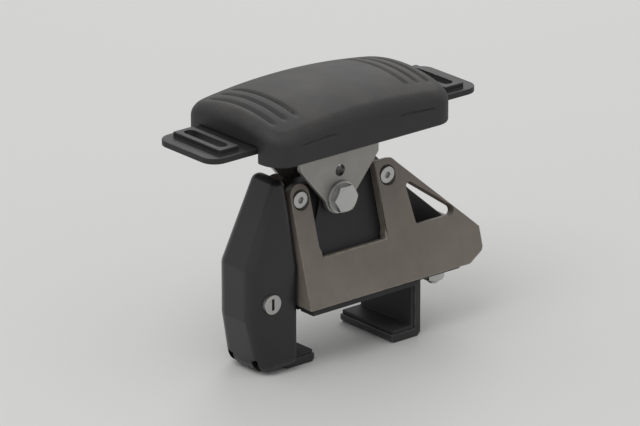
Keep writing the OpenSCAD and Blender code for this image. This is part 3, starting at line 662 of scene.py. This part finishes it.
def pad_surface(pad):
    """The rubber pad: an outline moved inward row by row, with a height for each point.

    A row at inset d has corner arcs of radius max(R - d, 0) round the points (+-(w - m), +-(l - m)),
    m = max(R, d). The crown is z = top - s(x, across) - s(y, along), s(v, r) = r - sqrt(r^2 - v^2),
    and within the edge radius e of the outline it falls by s(e - d, e) more.
    """
    low, high = box_mm("rubber_pad")
    deck = box_mm("pad_tray")[1][2] - COLLAR_RISE
    half = (high[:2] - low[:2]) / 2
    middle = (high[:2] + low[:2]) / 2
    columns = outline_columns(half, pad.corner)
    insets = np.concatenate([pad.edge * (1 - np.cos(np.linspace(0, np.pi / 2, ARC_STEPS))),
                             np.linspace(pad.edge, half[0], CROWN_ROWS)[1:]])
    crown = np.array([pad_row(columns, half, pad.corner, d) for d in insets])
    fall = sag(np.clip(pad.edge - insets, 0, None), pad.edge)
    z = high[2] - sag(crown[..., 0], pad.across) - sag(crown[..., 1], pad.along)
    z = z - fall[:, None] - groove_depths(crown, pad)

    rim = crown[0]
    over_wing = (np.abs(rim[:, 0]) < WING_HALF) & (np.abs(rim[:, 1]) > half[1] - 1)
    foot = np.where(over_wing, deck + DECK_GAP, low[2])
    ceiling = np.full(len(rim), deck + DECK_GAP)
    inner, lip, lip_mid = (pad_row(columns, half, pad.corner, d) for d in (pad.wall, LIP_R, LIP_MID))
    rows = [(pad_row(columns, half, pad.corner, d), ceiling)
            for d in np.linspace(half[0], pad.wall, UNDER_ROWS)]
    rows += [(inner, foot), (lip, foot), (lip_mid, foot + LIP_MID), (rim, foot + LIP_R)]
    foot = foot + LIP_R
    for share in np.linspace(0, 1, SKIRT_ROWS)[1:-1]:
        height = foot + (z[0] - foot) * share
        rows.append((pressed_in(rim, height - deck, half, pad), height))
    rows += zip(crown, z)
    points = np.concatenate([np.column_stack(row) for row in rows])
    points[:, :2] += middle
    return points, grid_faces(len(rows), len(rim))


def sag(v, radius):
    """How far a circle of a radius has fallen at a distance v from its top: r - sqrt(r^2 - v^2)."""
    return radius - np.sqrt(radius ** 2 - v ** 2)


def groove_depths(plan, pad):
    """Grooves across both ends of the crown, faded out towards the sides.

    Groove k is depth * exp(-((|y| - y_k) / half width)^4) / (1 + exp((|x| - x_end) / fade)).
    """
    x, y = plan[..., 0], np.abs(plan[..., 1])
    fade = 1 / (1 + np.exp((np.abs(x) - GROOVE_HALF) / GROOVE_FADE))
    first = y[0].max() - pad.edge - FIRST_GROOVE
    depth = np.zeros_like(x)
    for k in range(pad.grooves):
        at = first - k * pad.groove_gap
        depth += pad.groove_depth * np.exp(-((y - at) / (pad.groove_width / 2)) ** 4)
    return depth * fade


def pressed_in(rim, height, half, pad):
    """The rim with two short grooves at each end of its sides: x -= sign(x) depth g(height) h(y).

    g is the sum of exp(-((height - h_k) / half width)^4) over the heights h_k above the deck. h is 1
    near the ends of the straight side and fades out towards its middle and the corner.
    """
    x, y = rim[:, 0], np.abs(rim[:, 1])
    straight = half[1] - pad.corner
    near_end = 1 / (1 + np.exp((straight - pad.side_reach - y) / SIDE_FADE))
    off_corner = 1 / (1 + np.exp((y - straight + CORNER_GAP) / SIDE_FADE))
    depth = sum(np.exp(-((height - at) / SIDE_GROOVE_HALF) ** 4) for at in SIDE_GROOVES)
    at_side = np.abs(x) > half[0] - 0.01
    cut = np.where(at_side, pad.side_depth * depth * near_end * off_corner, 0.0)
    return np.column_stack([x - np.sign(x) * cut, rim[:, 1]])


def outline_columns(half, corner):
    """Columns round the outline, each (x sign, y sign, x run, y run, arc angle, share of the run).

    The signs tell the corner, and the run leads from it to the next corner.
    """
    arc = np.linspace(0, np.pi / 2, ARC_STEPS)
    long_side = np.linspace(0, 1, LONG_STEPS)[1:-1]
    short_side = np.concatenate([np.linspace(0, 1, SHORT_STEPS)[1:-1], wing_shares(half, corner)])
    short_side = np.sort(short_side)
    columns = []
    signs = [(1, 1), (-1, 1), (-1, -1), (1, -1)]
    for k, (sx, sy) in enumerate(signs):
        start = k * np.pi / 2
        columns += [(sx, sy, 0, 0, start + a, 0.0) for a in arc]
        nx, ny = signs[(k + 1) % 4]
        for share in (short_side if k % 2 == 0 else long_side):
            columns.append((sx, sy, nx - sx, ny - sy, start + np.pi / 2, share))
    return np.array(columns, float)


def wing_shares(half, corner):
    """Shares along a short side at which the skirt steps up over a wing."""
    steps = np.array([-WING_HALF - 0.05, -WING_HALF + 0.05, WING_HALF - 0.05, WING_HALF + 0.05])
    return 0.5 + steps / (2 * (half[0] - corner))


def pad_row(columns, half, corner, inset):
    """The outline moved inward by an inset, as points in plan."""
    core = half - max(corner, inset)
    radius = max(corner - inset, 0.0)
    place = (columns[:, 0:2] + columns[:, 2:4] * columns[:, 5:6]) * core
    out = np.column_stack([np.cos(columns[:, 4]), np.sin(columns[:, 4])])
    return place + out * radius


# Knob and fasteners

def arc_rows(rim, height, radius, start, end):
    """Rows of an edge rounded by q: (rim - q + q cos a, height + q sin a), a from start to end."""
    return [(rim - radius + radius * math.cos(a), height + radius * math.sin(a))
            for a in np.linspace(start, end, 7)]


def knob_surface():
    """The knob: scallops cut into a disc, r(t) = softmin(R, C cos p - sqrt(q^2 - C^2 sin^2 p)).

    p is the angle from the nearest scallop, C the distance of its centre and q its radius, and
    softmin(u, v) = -b ln(exp(-u / b) + exp(-v / b)). Two rounded edges, a hub behind, and a socket
    for the screw's head in front close it into a ring.
    """
    low, high = box_mm("clamp_knob")
    radius = (high[0] - low[0]) / 2
    total = high[1] - low[1]
    disc = total - HUB_H
    columns = KNOB_SCALLOPS * 36
    angle = round_angles(columns) * KNOB_SCALLOPS
    from_scallop = np.abs((angle + np.pi) % (2 * np.pi) - np.pi) / KNOB_SCALLOPS
    scallop_at = radius + SCALLOP_OUT
    root = SCALLOP_R ** 2 - (scallop_at * np.sin(from_scallop)) ** 2
    cut = scallop_at * np.cos(from_scallop) - np.sqrt(np.clip(root, 0, None))
    cut = np.where(root > 0, cut, radius + 6)
    rim = -RIM_BLEND * np.log(np.exp(-cut / RIM_BLEND) + np.exp(-radius / RIM_BLEND))
    rim = np.minimum(rim, radius)
    socket = hexagon(KNOB_SOCKET, columns)
    rows = [(KNOB_BORE_R, SOCKET_DEPTH), (socket, SOCKET_DEPTH), (socket, SOCKET_BEVEL),
            (socket + SOCKET_BEVEL, 0.0)]
    rows += arc_rows(rim, FRONT_EDGE, FRONT_EDGE, -np.pi / 2, 0)
    rows += arc_rows(rim, disc - BACK_EDGE, BACK_EDGE, 0, np.pi / 2)
    rows += [(HUB_R + 0.5, disc), (HUB_R + 0.1, disc + 0.4), (HUB_R, total - 0.3),
             (HUB_R - 0.3, total), (KNOB_BORE_R, total)]
    points, faces = turned(rows, columns, ring=True)
    turn = np.pi / KNOB_SCALLOPS
    c, s = math.cos(turn), math.sin(turn)
    points = points @ np.array([[c, s, 0], [-s, c, 0], [0, 0, 1]])
    screw = joint_place("knob_spin")
    return placed(points, (screw[0], low[1], screw[2]), "y"), faces


def hexagon(flats, columns=ROUND_COLUMNS):
    """Distance from the middle to a hexagon's side: r(t) = (flats / 2) / cos(t mod 60 deg - 30 deg)."""
    return flats / 2 / np.cos(round_angles(columns) % (np.pi / 3) - np.pi / 6)


def hex_end(flats):
    """A hexagonal end's sides, the radius of its flat, and its chamfer, (r - r_flat) tan 30 deg."""
    side = hexagon(flats)
    flat = HEX_TOP * flats
    return side, flat, (side - flat) * math.tan(math.radians(30))


def thread(d, start, end, pitch):
    """Rows of a right-hand thread, r = d/2 - depth w(z/pitch - t/2pi), with w a triangle wave.

    The thread fades in over one pitch at each end.
    """
    z = np.arange(start, end, pitch / 6)
    phase = (z[:, None] / pitch - round_angles(ROUND_COLUMNS) / (2 * np.pi)) % 1.0
    wave = 1 - np.abs(2 * phase - 1)
    fade = np.clip(np.minimum(z - start, end - z) / pitch, 0, 1)[:, None]
    return list(zip(d / 2 - THREAD_DEPTH * pitch * wave * fade, z))


def bolt(size, d, pitch, head, head_h, threaded=None, plain=0.0):
    """A bolt along its own z: a pole at the tip, a thread, a plain shank, and its head from z 0.

    size is its whole length. The thread is as long as threaded, or else it leaves plain free.
    """
    shank = size - head_h
    threaded = threaded or shank - plain
    tip_h = 0.6 * pitch
    rows = [(0.0, -shank), (d / 2 - 0.7 * pitch, -shank), (d / 2 - SMALL_BEVEL, tip_h - shank)]
    rows += thread(d, tip_h - shank, threaded - shank, pitch)
    rows += [(d / 2, threaded - shank + 0.05), (d / 2, -0.05)]
    return turned(rows + head, ROUND_COLUMNS)


def hex_bolt(size, flats, d, pitch, **reach):
    """A bolt with a chamfered hexagonal head."""
    side, flat, chamfer = hex_end(flats)
    head = [(side - SMALL_BEVEL, 0.0), (side, SMALL_BEVEL), (side, HEX_HEAD_H - chamfer),
            (flat, HEX_HEAD_H), (flat - 0.25, HEX_HEAD_H), (0.0, HEX_HEAD_H)]
    return bolt(size, d, pitch, head, HEX_HEAD_H, **reach)


def socket_bolt(size, head_d, d, pitch, head_h, across, deep, **reach):
    """A bolt with a low round head, whose hexagonal socket has a width across flats and a depth."""
    radius, edge = head_d / 2, 0.5
    well = hexagon(across)
    head = [(radius - 0.1, 0.0), (radius, SMALL_BEVEL)]
    head += [(radius - edge + edge * math.cos(a), head_h - edge + edge * math.sin(a))
             for a in np.linspace(0, np.pi / 2, 6)]
    head += [(well + 0.2, head_h), (well, head_h - 0.2), (well, head_h - deep),
             (0.0, head_h - deep - 0.3)]
    return bolt(size, d, pitch, head, head_h, **reach)


def nut(size, flats, d, collar=0.0):
    """A nut along its own z, chamfered at both ends, with a collar on top where it has an insert."""
    side, flat, chamfer = hex_end(flats)
    bore = d / 2 + BORE_GAP
    body = size - collar
    rows = [(bore, BORE_BEVEL), (bore + BORE_BEVEL, 0.0), (flat, 0.0), (side, chamfer),
            (side, body - chamfer), (flat, body)]
    if collar:
        rows += [(flat - 0.3, body + 0.1), (flat - 0.5, size - 0.6), (flat - 1.1, size)]
    rows += [(bore + BORE_BEVEL, size), (bore, size - BORE_BEVEL)]
    return turned(rows, ROUND_COLUMNS, ring=True)


def fasten(name, node, axis, shape, **sizes):
    """One piece for a node of fasteners: shape(size, across, **sizes) in the place of each solid.

    axis is the way that the head or the nut's top looks. size is the solid's length along it, and
    across its width at right angles to it, which a head or nut has across its flats.
    """
    k = "xyz".index(axis[-1])
    parts = []
    for low, high in solids(node):
        points, faces = shape(high[k] - low[k], np.delete(high - low, k).min(), **sizes)
        top = points[:, 2].max()
        at = (low + high) / 2
        at[k] = low[k] + top if axis[0] == "-" else high[k] - top
        parts.append((placed(points, at, axis), faces))
    surface_piece(name, *joined(parts), node, FACET_ANGLE)


# Operators

class SADDLE_OT_materials(bpy.types.Operator):
    """Makes the shared node groups and the finishes."""

    bl_idname = "saddle.materials"
    bl_label = "Finishes"
    bl_options = {"REGISTER", "UNDO"}

    def execute(self, context):
        for make in (grain_group, blotch_group, dust_group, wear_and_highlight_group, scratch_group):
            tree = make()
            GROUPS[tree.name] = tree
        colours = context.scene.saddle_colours
        for slot, (colour, roughness, values) in FINISHES.items():
            MATERIALS[slot] = finish(slot, tuple(getattr(colours, colour)), tuple(colours.dust),
                                     roughness, **values)
        return {"FINISHED"}


class SADDLE_OT_frame(bpy.types.Operator):
    """Grey frame, black post and the rubber seat."""

    bl_idname = "saddle.frame"
    bl_label = "Frame"
    bl_options = {"REGISTER", "UNDO"}

    def execute(self, context):
        edges = context.scene.saddle_fasteners
        rounded_piece("frame_shell", "base_frame", edges.moulded_round)
        rounded_piece("post_core", "core_post", edges.moulded_round / 2)
        rounded_piece("seat_rubber", "bar_seat_pad", edges.small_round * 2)
        return {"FINISHED"}


class SADDLE_OT_jaws(bpy.types.Operator):
    """Both steel jaws, their liners and the washer under the knob."""

    bl_idname = "saddle.jaws"
    bl_label = "Jaws"
    bl_options = {"REGISTER", "UNDO"}

    def execute(self, context):
        edges = context.scene.saddle_fasteners
        rounded_piece("front_hook", "front_jaw", edges.steel_round)
        rounded_piece("rear_hook", "rear_jaw", edges.steel_round)
        rounded_piece("front_liner", "front_jaw_liner", edges.small_round * 2)
        rounded_piece("rear_liner", "rear_jaw_liner", edges.small_round * 2)
        rounded_piece("knob_washer", "clamp_washer", edges.small_round)
        return {"FINISHED"}


class SADDLE_OT_clamp(bpy.types.Operator):
    """Knob, threaded clamp screw, its nut and its clip."""

    bl_idname = "saddle.clamp"
    bl_label = "Knob and screw"
    bl_options = {"REGISTER", "UNDO"}

    def execute(self, context):
        edges = context.scene.saddle_fasteners
        surface_piece("knob_grip", *knob_surface(), "clamp_knob")
        fasten("clamp_thread", "clamp_screw", "-y", hex_bolt, d=6.0, pitch=edges.fine_pitch, plain=14.0)
        rounded_piece("screw_nut", "clamp_nut", edges.small_round)
        rounded_piece("screw_ring", "screw_clip", edges.small_round / 2)
        return {"FINISHED"}


class SADDLE_OT_cover(bpy.types.Operator):
    """Tapered cover, its hinge pin, and the lock with its cam and clip."""

    bl_idname = "saddle.cover"
    bl_label = "Cover and lock"
    bl_options = {"REGISTER", "UNDO"}

    def execute(self, context):
        edges = context.scene.saddle_fasteners
        rounded_piece("cover_shell", "clamp_cover", edges.small_round)
        rounded_piece("hinge_pin", "cover_pin", edges.small_round)
        rounded_piece("lock_barrel", "lock_cylinder", edges.small_round)
        rounded_piece("lock_arm", "lock_cam", edges.small_round)
        rounded_piece("cam_ring", "cam_clip", edges.small_round / 2)
        return {"FINISHED"}


class SADDLE_OT_yoke(bpy.types.Operator):
    """Steel yoke with its pitch pivot and its roll pin."""

    bl_idname = "saddle.yoke"
    bl_label = "Yoke"
    bl_options = {"REGISTER", "UNDO"}

    def execute(self, context):
        edges = context.scene.saddle_fasteners
        rounded_piece("yoke_bracket", "yoke", edges.steel_round)
        rounded_piece("pivot_bush", "pitch_bush", edges.small_round)
        rounded_piece("pivot_discs", "friction_discs", edges.small_round)
        rounded_piece("pivot_washers", "pitch_washers", edges.small_round)
        rounded_piece("roll_rod", "roll_pin", edges.small_round * 2)
        rounded_piece("roll_rings", "roll_clips", edges.small_round)
        return {"FINISHED"}


class SADDLE_OT_fasteners(bpy.types.Operator):
    """Bolts, nuts and screws with threads, chamfers and sockets."""

    bl_idname = "saddle.fasteners"
    bl_label = "Fasteners"
    bl_options = {"REGISTER", "UNDO"}

    def execute(self, context):
        fine = context.scene.saddle_fasteners.fine_pitch
        coarse = context.scene.saddle_fasteners.coarse_pitch
        fasten("cross_bolts", "frame_bolts", "x", socket_bolt, d=5.0, pitch=0.8, head_h=2.8,
               across=3.0, deep=1.9, threaded=9.0)
        fasten("cross_nuts", "frame_nuts", "-x", nut, d=5.0)
        fasten("hook_bolts", "rear_jaw_bolts", "z", hex_bolt, d=6.0, pitch=fine, threaded=12.0)
        fasten("hook_nuts", "rear_jaw_nuts", "-z", nut, d=6.0)
        fasten("pivot_bolt", "pitch_bolt", "x", hex_bolt, d=8.0, pitch=coarse, threaded=12.0)
        fasten("pivot_nut", "pitch_nut", "-x", nut, d=8.0, collar=1.5)
        fasten("tray_screws", "pad_screws", "-z", socket_bolt, d=4.0, pitch=1.4, head_h=1.4,
               across=2.5, deep=0.9, plain=1.0)
        return {"FINISHED"}


class SADDLE_OT_pad(bpy.types.Operator):
    """Tray with its strap slots, and the rubber pad on it."""

    bl_idname = "saddle.pad"
    bl_label = "Tray and pad"
    bl_options = {"REGISTER", "UNDO"}

    def execute(self, context):
        scene = context.scene
        rounded_piece("strap_tray", "pad_tray", scene.saddle_fasteners.moulded_round / 2)
        surface_piece("pad_cushion", *pad_surface(scene.saddle_pad), "rubber_pad", PAD_ANGLE)
        return {"FINISHED"}


class SADDLE_OT_stage(bpy.types.Operator):
    """Pale floor, soft lamps and the camera at the reference view."""

    bl_idname = "saddle.stage"
    bl_label = "Stage"
    bl_options = {"REGISTER", "UNDO"}

    def execute(self, context):
        scene = context.scene
        low, high = (np.array(corner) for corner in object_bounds())
        centre = (low + high) / 2
        add_floor(scene.saddle_stage, low[2])
        add_lamps(scene.saddle_stage, centre)
        add_world(scene)
        add_camera(scene, centre)
        scene.view_settings.view_transform = "Standard"
        return {"FINISHED"}


# Stage, in metres

def add_floor(stage, height):
    """A round floor: points (r cos t, r sin t, height) for rings r."""
    points, faces = turned([(radius, height) for radius in (0.0, 1.0, 6.0)], 64)
    mesh = bpy.data.meshes.new("floor")
    mesh.from_pydata(points.tolist(), [], faces.tolist())
    floor = new_object("floor", mesh)
    made = bpy.data.materials.new("pale_floor")
    made.use_nodes = True
    shader = made.node_tree.nodes["Principled BSDF"]
    shader.inputs["Base Color"].default_value = rgba(stage.floor)
    shader.inputs["Roughness"].default_value = 0.85
    shader.inputs["Specular IOR Level"].default_value = 0.2
    mesh.materials.append(made)
    floor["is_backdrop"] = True


def add_lamps(stage, centre):
    """A large lamp above and to the front and a smaller one behind, both aimed at the middle."""
    places = (("key", (0.35, -0.9, 1.5), 1.2, stage.key), ("rim", (-0.9, 0.9, 0.9), 0.8, stage.rim))
    for name, offset, size, power in places:
        light = bpy.data.lights.new(name, "AREA")
        light.shape = "DISK"
        light.size = size
        light.energy = power
        lamp = new_object(name, light)
        lamp.location = centre + np.array(offset)
        lamp.rotation_euler = aim(-np.array(offset))


def add_world(scene):
    """Even pale light from all sides."""
    world = bpy.data.worlds.new("studio")
    world.use_nodes = True
    background = world.node_tree.nodes["Background"]
    background.inputs["Color"].default_value = (1.0, 1.0, 1.0, 1.0)
    background.inputs["Strength"].default_value = scene.saddle_stage.sky
    scene.world = world


def add_camera(scene, centre):
    """Camera at azimuth a and elevation e: centre + distance (sin a cos e, -cos a cos e, sin e)."""
    stage = scene.saddle_stage
    a, e = math.radians(stage.azimuth), math.radians(stage.elevation)
    away = np.array([math.sin(a) * math.cos(e), -math.cos(a) * math.cos(e), math.sin(e)])
    data = bpy.data.cameras.new("camera")
    data.lens = stage.lens
    data.clip_end = 50.0
    camera = new_object("camera", data)
    camera.location = centre + away * stage.distance
    camera.rotation_euler = aim(-away)
    scene.camera = camera


def aim(direction):
    """Turn of a lamp or camera that looks along a direction."""
    return Vector(direction).to_track_quat("-Z", "Y").to_euler()


class SADDLE_PT_panel(bpy.types.Panel):
    """Lists the sizes, the colours and the steps."""

    bl_label = "Kayak saddle carrier"
    bl_idname = "SADDLE_PT_panel"
    bl_space_type = "VIEW_3D"
    bl_region_type = "UI"
    bl_category = "Saddle"

    def draw(self, context):
        layout = self.layout
        for name in GROUP_NAMES:
            group = getattr(context.scene, name)
            box = layout.box()
            for key in group.__annotations__:
                box.prop(group, key)
        for operator in OPERATORS:
            layout.operator(operator.bl_idname)


PROPERTY_GROUPS = {"saddle_pad": SaddlePad, "saddle_fasteners": SaddleFasteners,
                   "saddle_colours": SaddleColours, "saddle_stage": SaddleStage}
GROUP_NAMES = tuple(PROPERTY_GROUPS)
OPERATORS = (SADDLE_OT_materials, SADDLE_OT_frame, SADDLE_OT_jaws, SADDLE_OT_clamp, SADDLE_OT_cover,
             SADDLE_OT_yoke, SADDLE_OT_fasteners, SADDLE_OT_pad, SADDLE_OT_stage)


def register():
    """Registers the classes and hangs the property groups on the scene."""
    for cls in (*PROPERTY_GROUPS.values(), *OPERATORS, SADDLE_PT_panel):
        bpy.utils.register_class(cls)
    for name, group in PROPERTY_GROUPS.items():
        setattr(bpy.types.Scene, name, PointerProperty(type=group))


def unregister():
    """Takes the property groups and the classes away again."""
    for name in PROPERTY_GROUPS:
        delattr(bpy.types.Scene, name)
    for cls in reversed((*PROPERTY_GROUPS.values(), *OPERATORS, SADDLE_PT_panel)):
        bpy.utils.unregister_class(cls)


def main():
    """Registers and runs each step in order."""
    register()
    for operator in OPERATORS:
        group, name = operator.bl_idname.split(".")
        if getattr(getattr(bpy.ops, group), name)() != {"FINISHED"}:
            raise RuntimeError(operator.bl_idname + " did not finish")


if __name__ == "__main__":
    main()
